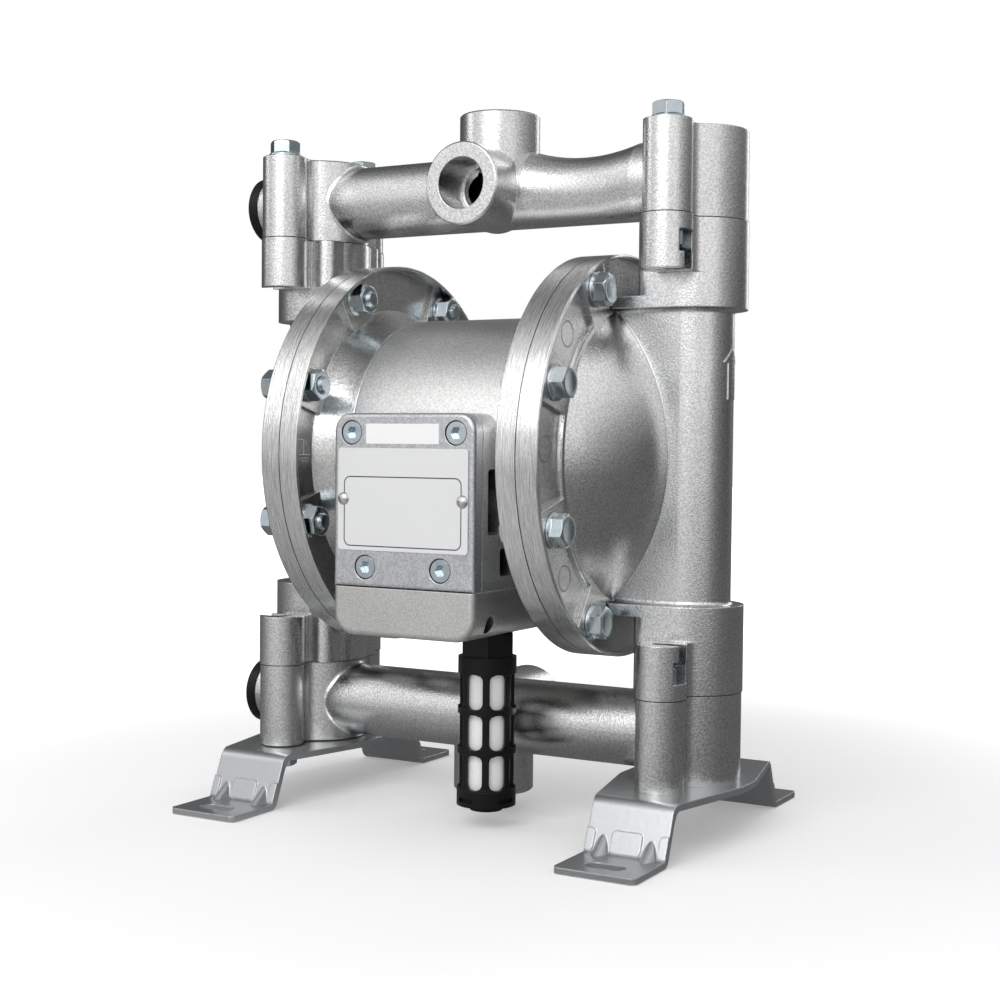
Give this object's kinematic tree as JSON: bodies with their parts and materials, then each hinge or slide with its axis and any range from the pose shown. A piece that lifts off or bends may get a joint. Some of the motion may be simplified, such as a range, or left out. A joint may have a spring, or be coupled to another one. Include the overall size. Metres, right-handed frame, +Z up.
{
  "type": "air operated double diaphragm pump",
  "caption": "Air operated double diaphragm pump in cast metal, with threaded suction and discharge ports, check balls, air valve with silencer, and slotted foot straps.",
  "frame": {"origin": "middle of the four foot slots, on the floor under the foot straps", "axes": "+X along the diaphragm shaft, from the core stubs' side; the valve cover faces -Y; +Z up"},
  "size_m": [0.271, 0.194, 0.3328],
  "materials": {
    "cast_aluminium": "blasted casting",
    "zinc_steel": "zinc plated",
    "painted_steel": "grey powder coat",
    "bare_nameplate": "satin",
    "stainless_steel": "ground",
    "machined_aluminium": "turned",
    "black_plastic": "satin moulded",
    "porous_plastic": "matt porous",
    "white_plastic": "smooth",
    "black_rubber": "matt",
    "bronze": "turned"
  },
  "bodies": {
    "pump": {"top_manifold": "cast_aluminium", "bottom_manifold": "cast_aluminium", "left_fluid_cover": "cast_aluminium", "right_fluid_cover": "cast_aluminium", "left_air_chamber": "cast_aluminium", "right_air_chamber": "cast_aluminium", "center_body": "cast_aluminium", "valve_cover": "cast_aluminium", "exhaust_block": "cast_aluminium", "left_clamp_bolts": "zinc_steel", "right_clamp_bolts": "zinc_steel", "left_clamp_nuts": "zinc_steel", "right_clamp_nuts": "zinc_steel", "top_manifold_bolts": "zinc_steel", "top_manifold_nuts": "zinc_steel", "bottom_manifold_bolts": "zinc_steel", "bottom_manifold_nuts": "zinc_steel", "cover_screws": "zinc_steel", "left_foot_strap": "painted_steel", "right_foot_strap": "painted_steel", "label_plate": "bare_nameplate", "label_rivets": "stainless_steel", "valve_sleeve": "stainless_steel", "silencer_body": "black_plastic", "core_plugs": "black_plastic", "silencer_element": "porous_plastic", "outlet_seats": "white_plastic", "inlet_seats": "white_plastic", "seat_o_rings": "black_rubber", "left_diaphragm": "black_rubber", "right_diaphragm": "black_rubber", "valve_gasket": "black_rubber", "shaft_bushes": "bronze"},
    "shaft_group": {"diaphragm_shaft": "stainless_steel", "inner_plates": "machined_aluminium", "outer_plates": "machined_aluminium", "plate_nuts": "zinc_steel"},
    "outlet_left": {"outlet_ball_left": "white_plastic"},
    "outlet_right": {"outlet_ball_right": "white_plastic"},
    "inlet_left": {"inlet_ball_left": "white_plastic"},
    "inlet_right": {"inlet_ball_right": "white_plastic"},
    "spool": {"valve_spool": "machined_aluminium"}
  },
  "joints": [
    {"name": "shaft_slide", "type": "slide", "parent": "pump", "child": "shaft_group", "axis": [1, 0, 0], "range_m": [-0.008, 0.008], "deforming": ["left_diaphragm", "right_diaphragm"]},
    {"name": "outlet_left_lift", "type": "slide", "parent": "pump", "child": "outlet_left", "axis": [0, 0, 1], "range_m": [0, 0.006]},
    {"name": "outlet_right_lift", "type": "slide", "parent": "pump", "child": "outlet_right", "axis": [0, 0, 1], "range_m": [0, 0.006]},
    {"name": "inlet_left_lift", "type": "slide", "parent": "pump", "child": "inlet_left", "axis": [0, 0, 1], "range_m": [0, 0.006]},
    {"name": "inlet_right_lift", "type": "slide", "parent": "pump", "child": "inlet_right", "axis": [0, 0, 1], "range_m": [0, 0.006]},
    {"name": "spool_slide", "type": "slide", "parent": "pump", "child": "spool", "axis": [0, 0, 1], "range_m": [0, 0.008]}
  ]
}
